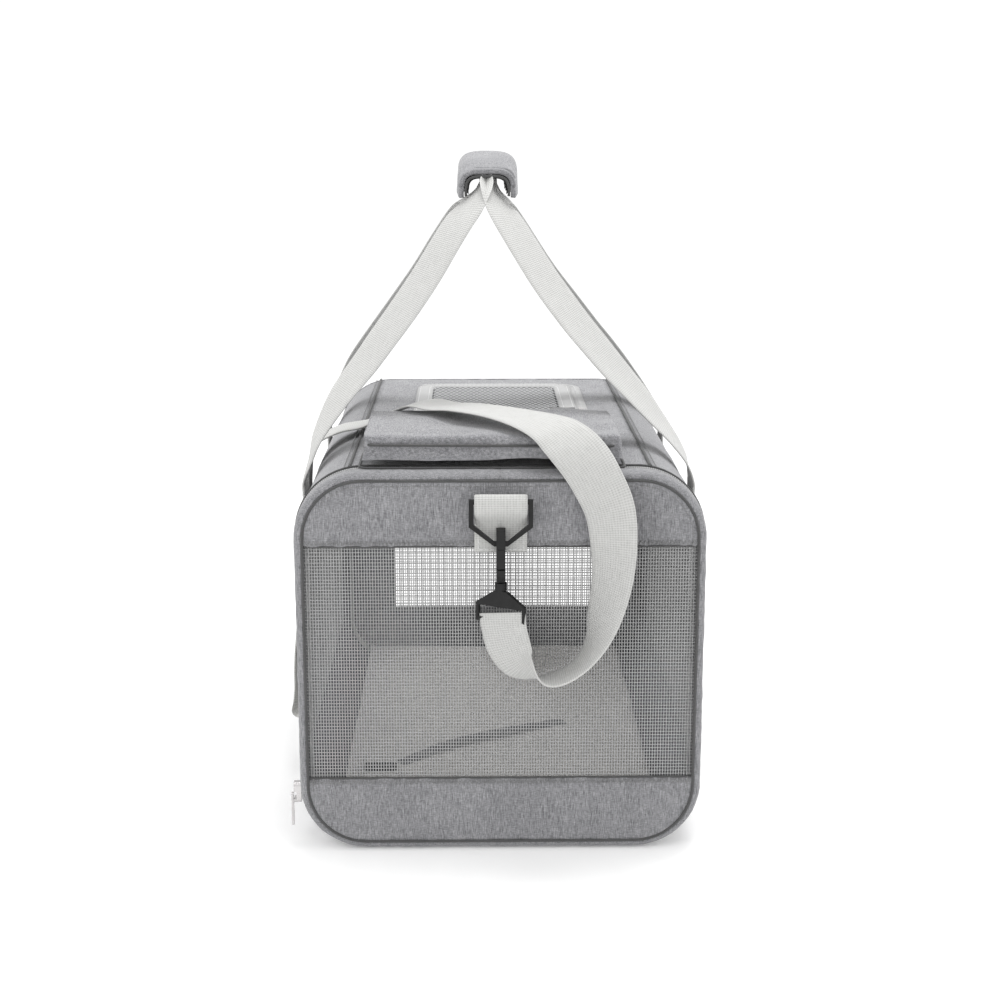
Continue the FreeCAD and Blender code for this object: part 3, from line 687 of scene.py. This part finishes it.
def build_flap():
    top = HEIGHT + 0.0004
    (x0, x1), (y0, y1) = FLAP_X, FLAP_Y
    outer = rounded_loop(x0, x1, y0, y1, top, 0.018)
    levels = [(0.0, 0.0), (0.0006, 0.0013), (0.004, 0.0019), (0.008, 0.0016), (0.0125, 0.0018),
              (0.0145, 0.0008), (0.0148, 0.0)]
    verts = []
    for inset, lift in levels:
        loop = rounded_loop(x0 + inset, x1 - inset, y0 + inset, y1 - inset, top + lift,
                            max(0.018 - inset * 0.6, 0.004))
        verts += loop
    n = len(outer)
    faces = [(j * n + k, j * n + (k + 1) % n, (j + 1) * n + (k + 1) % n, (j + 1) * n + k)
             for j in range(len(levels) - 1) for k in range(n)]
    rim = piece("roof_flap_binding", verts, faces, BINDING, "roof_flap", ["flap_binding"], "binding")
    around = 2 * (x1 - x0 + y1 - y0) - 0.05
    declare(rim, 0.016, around)
    for name, inset in (("outer", 0.003), ("inner", 0.0115)):
        path = rounded_loop(x0 + inset, x1 - inset, y0 + inset, y1 - inset, top + 0.0019, 0.014)
        stitches(f"flap_{name}_stitch", path + path[:1], (0, 0, 1), PALE_STITCH, "roof_flap")
    honeycomb("roof_flap_netting", (x0 + 0.0135, y0 + 0.0135), (x1 - 0.0135, y1 - 0.0135),
              top + 0.0006)
    tape = rounded_loop(x0 - 0.0045, x1 + 0.0045, y0 - 0.0045, y1 + 0.0045, HEIGHT + 0.0006, 0.02)
    open_side = [p for p in tape if p.x > x0 + 0.004]
    open_side.sort(key=lambda p: math.atan2(p.y - 0.065, -(p.x - x0) - 0.02) % TAU)
    spots = [(p, Vector((0, 0, 1)).cross(d), Vector((0, 0, 1)), (0.0016, 0.0009, 0.0012))
             for p, d in walk(open_side, 0.0016)]
    beads("roof_zip_teeth", spots, TEETH, "root", "zip_tape")
    verts, faces = [], []
    for number, p in enumerate(open_side):
        d = (open_side[min(number + 1, len(open_side) - 1)] - open_side[max(number - 1, 0)])
        side = Vector((0, 0, 1)).cross(d.normalized())
        for a, b in ((-0.0048, -0.0005), (-0.0048, 0.0002), (0.0048, 0.0002), (0.0048, -0.0005)):
            verts.append(p + side * a + Vector((0, 0, b - 0.0002)))
    for j in range(len(open_side) - 1):
        faces += [(j * 4 + k, j * 4 + (k + 1) % 4, j * 4 + 4 + (k + 1) % 4, j * 4 + 4 + k)
                  for k in range(4)]
    faces += [(3, 2, 1, 0), tuple(len(verts) - 4 + k for k in range(4))]
    piece("roof_zip_band", verts, faces, TAPE, "root", ["flap_zip_tape"], "zip_tape")
    garage_low, garage_high = Vector((0.046, 0.010, top)), Vector((0.068, 0.034, top))
    patch = grid("flap_zip_garage", steps([garage_low.x, garage_high.x], 0.002),
                 steps([garage_low.y, garage_high.y], 0.002),
                 lambda x, y: Vector((x, y, top + 0.0026
                                      + noise.noise(Vector((x, y, 0)) * 90) * 0.0006)),
                 LINING, body="roof_flap", slot="piping")
    thicken(patch, 0.0012, -1)
    declare(patch, 0.022, 0.024)


def honeycomb(name, low, high, z):
    """Knitted spacer mesh with round holes in offset rows; the hole walls carry black cloth as painted
    shade, the real netting being one colour.
    """
    pitch, hole = 0.0052, 0.00175
    row = pitch * math.sqrt(3) / 2
    verts, faces = [], []
    count_y = int((high[1] - low[1]) / row)
    count_x = int((high[0] - low[0]) / pitch)
    for j in range(count_y):
        for i in range(count_x):
            cx = low[0] + (i + 0.5 + (j % 2) * 0.5) * pitch
            cy = low[1] + (j + 0.5) * row
            if cx > high[0] - pitch / 2:
                continue
            base = len(verts)
            for level, radius, cell in ((0.0, None, True), (0.0003, hole, False),
                                        (-0.0006, hole * 0.9, False)):
                for k in range(12):
                    turn = TAU * k / 12 + math.pi / 6
                    reach = radius or pitch / math.sqrt(3)
                    if cell and k % 2:
                        reach = pitch / 2
                    verts.append((cx + reach * math.cos(turn), cy + reach * math.sin(turn), z + level))
            for ring in range(2):
                faces += [(base + ring * 12 + k, base + ring * 12 + (k + 1) % 12,
                           base + ring * 12 + 12 + (k + 1) % 12, base + ring * 12 + 12 + k)
                          for k in range(12)]
    made = piece(name, verts, faces, NETTING, "roof_flap", ["flap_mesh"], "mesh")
    # The hole walls take the black cloth as painted shade, so the holes read dark from any angle.
    made.data.materials.append(BLACK_CLOTH_AND_PAINTED_SHADE)
    for number, face in enumerate(made.data.polygons):
        face.material_index = (number // 12) % 2
    return declare(made, high[0] - low[0], high[1] - low[1])


# ---- rear end ---------------------------------------------------------------------------
def build_rear():
    wide = WIDTH / 2 - SEAM_IN
    low, high, half = 0.057, 0.240, 0.100
    panel = end_band("rear_end_panel", SEAM_IN, HEIGHT - SEAM_IN, 1, ["rear_panel"], "root",
                     holes=(low, high), stops=(-wide, -half, half, wide))
    declare(panel, 2 * wide, HEIGHT - 2 * SEAM_IN,
            area=2 * wide * (HEIGHT - 2 * SEAM_IN) - 2 * half * (high - low))
    mesh_window("rear_netting", (-half - 0.003, low - 0.003), (half + 0.003, high + 0.003), 1,
                REAR - 0.0016, THREAD, "root", ["rear_mesh"])
    corners = [Vector((x, REAR + 0.0004, z)) for x, z in (
        (-half, low), (half, low), (half, high), (-half, high), (-half, low))]
    path = [a + (b - a) * t for a, b in zip(corners, corners[1:]) for t in (0, 0.25, 0.5, 0.75)]
    tube("rear_window_piping", path, 0.0011, PIPING, slot="piping")
    stitches("rear_window_stitch", [Vector((p.x * 1.04, p.y, p.z + (0.004 if p.z > 0.1 else -0.004)))
                                    for p in corners], (0, 1, 0), STITCH)
    ring = steps([0, PERIMETER], 0.006)
    cord = [outline_at(u, SEAM_IN - 0.0004)[0] + Vector((0, REAR + 0.0003, 0)) for u in ring[:-1]]
    tube("rear_piping_cord", cord, 0.0010, PIPING, nodes=["rear_piping"], slot="piping")
    profile = [(SEAM_IN - 0.001, 0.0002), (0.0045, 0.0003), (0.0022, -0.0009), (0.0007, -0.0032),
               (0.0, -0.0064)]
    made = grid("rear_gusset_band", [float(k) for k in range(len(profile))], ring,
                lambda k, u: outline_at(u, profile[int(k)][0])[0]
                + Vector((0, REAR + profile[int(k)][1], 0)),
                HEATHER_END_PAINTED_SHADE, slot="heather_fabric")
    thicken(made, CLOTH)
    declare(made, 0.0105, PERIMETER * 0.97)


# ---- padded pieces: simulated, so they swell against their seams ------------------------
def block(name, low, high, size, material, **rest):
    """A closed box of small quads, ready to be inflated."""
    verts, faces, index = [], [], {}
    ranges = [steps([a, b], size) for a, b in zip(low, high)]

    def vertex(*place):
        key = tuple(round(c, 6) for c in place)
        if key not in index:
            index[key] = len(verts)
            verts.append(Vector(place))
        return index[key]

    for axis in range(3):
        one, two = [k for k in range(3) if k != axis]
        for end in (0, -1):
            for a, b in zip(ranges[one], ranges[one][1:]):
                for c, d in zip(ranges[two], ranges[two][1:]):
                    corner = []
                    for s, t in ((a, c), (b, c), (b, d), (a, d)):
                        place = [0.0] * 3
                        place[axis], place[one], place[two] = ranges[axis][end], s, t
                        corner.append(vertex(*place))
                    if (axis == 1) == (end == -1):
                        corner.reverse()
                    faces.append(tuple(corner[::-1] if end == 0 and axis != 1 else corner))
    made = piece(name, verts, faces, material, **rest)
    mesh = made.data
    mesh.validate()
    return made


def inflate(made, cap, pressure, frames=16):
    """Run a short cloth simulation with inside pressure, cap the travel and apply it."""
    start = [v.co.copy() for v in made.data.vertices]
    cloth = made.modifiers.new("cloth", "CLOTH")
    settings = cloth.settings
    settings.quality = 5
    settings.mass = 0.2
    settings.tension_stiffness = settings.compression_stiffness = 12
    settings.shear_stiffness = 6
    settings.bending_stiffness = 0.4
    settings.use_pressure = True
    settings.uniform_pressure_force = pressure
    settings.effector_weights.gravity = 0
    cloth.point_cache.frame_start = 1
    cloth.point_cache.frame_end = frames
    scene = bpy.context.scene
    for number in range(1, frames + 1):
        scene.frame_set(number)
    shaped = bpy.data.meshes.new_from_object(made.evaluated_get(
        bpy.context.evaluated_depsgraph_get()))
    made.modifiers.remove(cloth)
    for vertex, before, after in zip(made.data.vertices, start, shaped.vertices):
        move = after.co - before
        if move.length > cap:
            move *= cap / move.length
        vertex.co = before + move
    scene.frame_set(1)
    made.data.update()
    return made


def wrinkle(made, scale, depth, floor=None):
    """Crumples over the whole surface, never below the floor."""
    for vertex in made.data.vertices:
        p = vertex.co
        n = noise.noise(p * scale) * depth + noise.noise(p * scale * 3) * depth * 0.35
        p += vertex.normal * n
        if floor is not None and p.z < floor:
            p.z = floor
    made.data.update()


def build_pocket():
    """A boxed pocket: upright walls sewn to the roof and a crowned top that folds at a seam."""
    low, high = (Vector(v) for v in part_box("roof_pocket"))
    shrink = Vector((0.003, 0.003, 0.0))
    made = block("roof_pocket_bag", low + shrink, high - shrink - Vector((0, 0, 0.003)), 0.0065,
                 HEATHER_TOP_PAINTED_LIT, nodes=["roof_pocket"], slot="heather_fabric")
    inflate(made, 0.006, 5)
    wrinkle(made, 28, 0.0022, low.z)
    tall = high.z - low.z
    for vertex in made.data.vertices:
        up = min(max((vertex.co.z - low.z) / tall, 0.0), 1.0)
        hug = max(0.0, 1 - up / 0.6)
        for axis in (0, 1):
            side = low[axis] if vertex.co[axis] < (low[axis] + high[axis]) / 2 else high[axis]
            if abs(vertex.co[axis] - side) < 0.012:
                vertex.co[axis] += (side - vertex.co[axis]) * hug * 0.8
        if up < 0.12:
            vertex.co.z = low.z
    rounding = made.modifiers.new("rounding", "SUBSURF")
    rounding.levels = rounding.render_levels = 2
    x0, x1, y0, y1 = low.x + 0.003, high.x - 0.003, low.y + 0.0015, high.y - 0.002
    edge = rounded_loop(x0, x1, y0, y1, high.z - 0.0042, 0.010)
    edge = [p + Vector((0, 0, noise.noise(p * 30) * 0.0015)) for p in edge]
    tube("pocket_piping", edge, 0.0010, PIPING, slot="piping")
    edge = [p + Vector((0, 0, 0.0015)) for p in rounded_loop(
        low.x - 0.0005, high.x + 0.0005, low.y - 0.0005, high.y + 0.0005, low.z - 0.0012, 0.008)]
    tube("pocket_seam", edge, 0.0009, PIPING, slot="piping")


def build_mat():
    low, high = (Vector(v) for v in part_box("comfort_mat"))
    made = block("comfort_mat_pad", low + Vector((0.004, 0.004, 0)),
                 high - Vector((0.004, 0.004, 0.003)), 0.012, MAT_CLOTH, nodes=["comfort_mat"],
                 slot="mat_fabric")
    inflate(made, 0.005, 3, 12)
    wrinkle(made, 18, 0.0012, low.z)
    rounding = made.modifiers.new("rounding", "SUBSURF")
    rounding.levels = rounding.render_levels = 1


# ---- carrying straps, handles and hardware ---------------------------------------------
LEG = [
    ([151.4, -112, 250], [0, 1, 0], (0, 0)), ([151.3, -112, 262], [0, 1, 0], (0, 0)),
    ([147, -112, 277], [0.1, 1, 0], (0, 0)), ([137, -112, 295], [0.25, 1, 0], (-4, -2)),
    ([112, -107, 325], [0.4, 0.9, 0.15], (-12, -2)), ([82, -99, 359], [0.40, 0.83, 0.31], (-16, -2)),
    ([47.5, -87, 406], [0.41, 0.8, 0.35], (-16, -5)), ([22, -75, 450], [0.45, 0.8, 0.25], (-14, -8)),
    ([12, -67, 468], [0.45, 0.8, 0.1], (-11, -9)), ([9, -57, 477], [0.45, 0.85, -0.1], (-9, -9)),
    ([7, -40, 483], [0.4, 0.3, -0.8], (-8, -8)),
]


def flipped(stations, signs):
    """The same stations on another side, moved in X by the lean of the left or right side."""
    return [([p[0] * signs[0] + leans[signs[0] > 0], p[1] * signs[1], p[2]],
             [a * b for a, b in zip(w, signs)]) for p, w, leans in stations]


def build_handles():
    for side, sx in (("left", -1), ("right", 1)):
        for end, sy in (("front", 1), ("rear", -1)):
            ribbon(f"{side}_{end}_handle", flipped(LEG, (sx, sy, 1)),
                   nodes=[f"{side}_handle_{end}_leg"])
    for sx in (-1, 1):
        ribbon(f"handle_run_{'left' if sx < 0 else 'right'}", [
            ([sx * 6 - 8, -42, 484], [0, 0, 1]), ([sx * 6 - 8, 0, 486], [0, 0, 1]),
            ([sx * 6 - 8, 42, 484], [0, 0, 1])], wide=0.021)
    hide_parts("handle_tops")
    first = True
    for sx in (-1, 1):
        for y in (-112, 112):
            x = sx * (WIDTH / MM / 2 + 1.3)
            made = ribbon(f"sewn_web_{'left' if sx < 0 else 'right'}_{'front' if y < 0 else 'rear'}",
                          [([x, y, 42], [0, 1, 0]), ([x, y, 120], [0, 1, 0]), ([x, y, 200], [0, 1, 0]),
                           ([x, y, 258], [0, 1, 0])], cup=0.0)
            if first:
                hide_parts("side_webbing")
            first = False
            box_path = [Vector((x * MM + sx * 0.0009, y * MM + a, z)) for a, z in (
                (-0.016, 0.046), (0.016, 0.046), (0.016, 0.256), (-0.016, 0.256), (-0.016, 0.046))]
            stitches(f"web_stitch_{'left' if sx < 0 else 'right'}_{'front' if y < 0 else 'rear'}",
                     box_path, (sx, 0, 0), PALE_STITCH)


def build_grip():
    """A padded saddle over both handles, open below; a flap with hook tape closes it on top."""
    low, high = (Vector(v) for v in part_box("grip_wrap"))
    centre, half = (low + high) / 2, (high - low) / 2
    opening = 0.42
    across = steps([-opening, math.pi + opening], TAU / 64)
    along = steps([-1, 1], 0.05)

    def place(turn, b, lift=0.0):
        """turn goes over the top from the right edge to the left; b runs along the sleeve."""
        power = 0.5
        c, s = math.cos(turn), math.sin(turn)
        droop = 0.013 * abs(b) ** 2.2
        x = math.copysign(abs(c) ** power, c) * (half.x * (1 - 0.13 * abs(b) ** 3) - 0.001 + lift)
        flare = 1.0 + 0.16 * max(0.0, -s)
        z = math.copysign(abs(s) ** power, s) * (half.z + lift)
        top = -droop if s > 0 else -droop * 0.3
        p = Vector((centre.x + x * flare * 0.94, centre.y + b * half.y, centre.z + z + top))
        return p + Vector((c, 0, s)) * noise.noise(p * 45) * 0.0014

    made = grid("grip_sleeve", across, along, place, HEATHER_TOP_PAINTED_LIT, nodes=["grip_wrap"],
                slot="heather_fabric")
    thicken(made, 0.0036, -1)
    lining = grid("grip_lining", across, steps([-0.97, 0.97], 0.1),
                  lambda turn, b: place(turn, b, -0.0041), BLACK_CLOTH_AND_PAINTED_SHADE, slot="piping")
    thicken(lining, 0.0006, -1)
    for name, b in (("front", -1), ("rear", 1)):
        edge = [place(t, b, -0.0016) + Vector((0, b * 0.0006, 0)) for t in across]
        tube(f"grip_{name}_binding", edge, 0.0011, PIPING, closed=False, slot="piping")
    tape = grid("grip_hook_tape", steps([math.pi * 0.16, math.pi * 0.60], 0.06),
                steps([-0.93, 0.93], 0.08), lambda turn, b: place(turn, b, 0.0004), BLACK_CLOTH_AND_PAINTED_SHADE,
                slot="piping")
    thicken(tape, 0.0010, 1)
    tab = grid("grip_flap_tab", steps([math.pi * 0.12, math.pi * 0.56], 0.05),
               steps([-0.96, 0.96], 0.05),
               lambda turn, b: place(turn, b, 0.0024 + 0.0022 * abs(b) ** 5), HEATHER_TOP_PAINTED_LIT,
               body="grip_flap", nodes=["grip_flap"], slot="heather_fabric")
    thicken(tab, 0.0018, 1)
    declare(tab, 0.042, 0.96 * (high.y - low.y))


STRAP = [
    ([1, -237.5, 189], [0.87, -0.5, 0]), ([2, -239.5, 178], [0.87, -0.5, 0]),
    ([6, -241, 163], [0.87, -0.5, 0]), ([14, -243, 150], [0.6, -0.7, 0.4]),
    ([32, -246, 141], [0.1, -1, 0.1]), ([50, -246, 146], [0, -1, 0]), ([64, -245, 161], [0.2, -1, 0]),
    ([73, -245, 185], [0.5, -0.8, 0]), ([79, -245, 214], [0.7, -0.7, 0]),
    ([80, -244, 242], [0.8, -0.5, 0.1]), ([77, -240, 266], [0.85, -0.3, 0.4]),
    ([68, -235, 286], [0.8, -0.1, 0.6]), ([59, -229, 300], [0.75, 0.15, 0.6]),
    ([47, -220, 312], [0.75, 0.35, 0.4]), ([34, -208, 320], [0.75, 0.5, 0.2]),
    ([8, -181, 324], [0.7, 0.7, 0.05]), ([-22, -145, 323], [0.6, 0.8, 0]),
    ([-42, -119, 320], [0.55, 0.85, 0]), ([-62, -94, 318], [0.5, 0.87, 0]),
    ([-86, -70, 306], [0.3, 0.95, 0]), ([-106, -62, 296.5], [0.1, 1, 0]),
    ([-128, -61, 291.6], [0, 1, 0]), ([-147, -61, 280], [0, 1, 0]), ([-153, -61, 256], [0, 1, 0]),
    ([-154, -59, 170], [0, 1, 0]), ([-154, -55, 95], [0, 1, 0]), ([-156, -51, 62], [0, 1, 0.1]),
    ([-162, -47, 52], [0, 1, 0.1]), ([-169, -41, 60], [0, 1, -0.1]), ([-171, -27, 88], [0, 0.95, -0.3]),
    ([-168, 5, 134], [0, 0.8, -0.6]), ([-163, 61, 174], [0, 0.6, -0.8]),
    ([-159, 121, 197], [0, 0.35, -0.95]), ([-156, 175, 205], [0.05, 0.1, -1]),
    ([-155, 214, 205], [0, 0, -1]), ([-155, 230, 204], [0, 0, -1]), ([-147, 240, 203], [0, 0, -1]),
    ([-130, 245, 198], [0, 0.1, -1]), ([-104, 248, 185], [-0.3, 0.3, -1]),
    ([-78, 248, 166], [-0.4, 0.6, -0.8]), ([-48, 248, 150], [-0.2, 1, -0.5]),
    ([-24, 247, 146], [0.2, 1, -0.1]), ([-9, 243, 154], [0.6, 0.8, 0]),
    ([-3, 241, 167], [0.87, 0.5, 0]), ([-1, 238, 189], [0.87, 0.5, 0]),
]


HOOK_ROUND, GATE_ROUND = 0.0012, 0.0006


def build_straps():
    strap = ribbon("shoulder_strap", STRAP, body=None, cup=0.0006,
                   nodes=["strap_front", "strap_top", "strap_side", "strap_rear"])
    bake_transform(strap)
    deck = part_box("safety_tether")[0][2] / MM + 1.2
    ribbon("tether_web", [([-80, -124, deck], [-0.5, 0.8, 0]), ([-40, -90, deck + 4], [-0.6, 0.8, 0]),
                          ([10, -56, deck + 3], [-0.5, 0.8, 0]), ([56, -27, deck], [-0.6, 0.8, 0])],
           nodes=["safety_tether"], wide=0.013, material=LINING)
    for end, sy, body in (("front", -1, "front_door"), ("rear", 1, "root")):
        build_tab(end, sy, body)
        for metal in ("snap_hook", "hook_gate", "hook_base", "d_ring"):
            dress(f"{end}_{metal}", BLACK, GATE_ROUND if metal == "hook_gate" else HOOK_ROUND, 3)


def build_tab(end, sy, body):
    """Webbing folded over the D-ring's top bar and sewn flat to the panel."""
    face = LENGTH / MM / 2
    back = [([0, sy * (face + 1.2), 232], [1, 0, 0]), ([0, sy * (face + 1.4), 250], [1, 0, 0]),
            ([0, sy * (face + 3), 264], [1, 0, 0]), ([0, sy * (face + 6.4), 272.6], [1, 0, 0]),
            ([0, sy * (face + 10.4), 275], [1, 0, 0]), ([0, sy * (face + 13.3), 271], [1, 0, 0]),
            ([0, sy * (face + 12.4), 263.6], [1, 0, 0]), ([0, sy * (face + 5.6), 254], [1, 0, 0]),
            ([0, sy * (face + 3.4), 240], [1, 0, 0]), ([0, sy * (face + 3.2), 232], [1, 0, 0])]
    ribbon(f"{end}_tab_web", back, body, [f"{end}_ring_tab"], cup=0.0, count=6)
    path = [Vector((x, sy * (face * MM + 0.0042), z)) for x, z in (
        (-0.016, 0.234), (0.016, 0.234), (0.016, 0.246), (-0.016, 0.246), (-0.016, 0.234))]
    stitches(f"{end}_tab_stitch", path, (0, sy, 0), PALE_STITCH, body)


def dress(node, material, bevel, segments=2):
    """Keep a CAD solid, with its material and softened edges."""
    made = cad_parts[node]
    made.data.materials.clear()
    made.data.materials.append(material)
    soften(made, bevel, segments)


build_door()
build_zip()
build_walls()
build_roof()
build_rear()
build_pocket()
build_mat()
build_handles()
build_grip()
build_straps()
for cad_node, finish, round_by in (
        ("door_zip_slider", NICKEL, 0.0008), ("door_zip_pull", NICKEL, 0.0003),
        ("flap_zip_slider", NICKEL, 0.0008), ("flap_zip_pull", NICKEL, 0.0003),
        ("wire_hoops", STEEL, 0.0007), ("base_board", BOARD, 0.0008), ("tether_clip", BLACK, 0.001)):
    dress(cad_node, finish, round_by)


# ---- floor, light and world --------------------------------------------------------------
FLOOR_HALF = 6
FLOOR_GLOW, SKY_STRENGTH = 0.16, 1.05      # together they clip the floor and background to white
LIGHTS = (("key", (-1.2, -1.7, 1.9), 1.0, 9), ("top", (0.2, 0.2, 1.9), 0.9, 20))


def build_stage():
    corners = [(a * FLOOR_HALF, b * FLOOR_HALF, 0) for a, b in ((-1, -1), (1, -1), (1, 1), (-1, 1))]
    floor = piece("floor", corners, [(0, 1, 2, 3)],
                  plain_cloth("pale_floor", 0.86, 0.90, 0.0001, 40, 0.8), body=None, smooth=False)
    floor.location.z = -0.0005
    glow = floor.data.materials[0].node_tree.nodes["Principled BSDF"].inputs
    glow["Emission Color"].default_value = (1, 1, 1, 1)
    glow["Emission Strength"].default_value = FLOOR_GLOW
    world = bpy.data.worlds.new("studio")
    bpy.context.scene.world = world
    world.use_nodes = True
    background = world.node_tree.nodes["Background"]
    background.inputs["Color"].default_value = (1, 1, 1, 1)
    background.inputs["Strength"].default_value = SKY_STRENGTH
    for name, place, size, power in LIGHTS:
        light = bpy.data.objects.new(name, bpy.data.lights.new(name, "AREA"))
        bpy.context.collection.objects.link(light)
        light.location = place
        light.rotation_euler = (Vector((0, 0, 0.2)) - Vector(place)).to_track_quat("-Z", "Y").to_euler()
        light.data.size = size
        light.data.energy = power
    bpy.context.scene.view_settings.view_transform = "Standard"


build_stage()
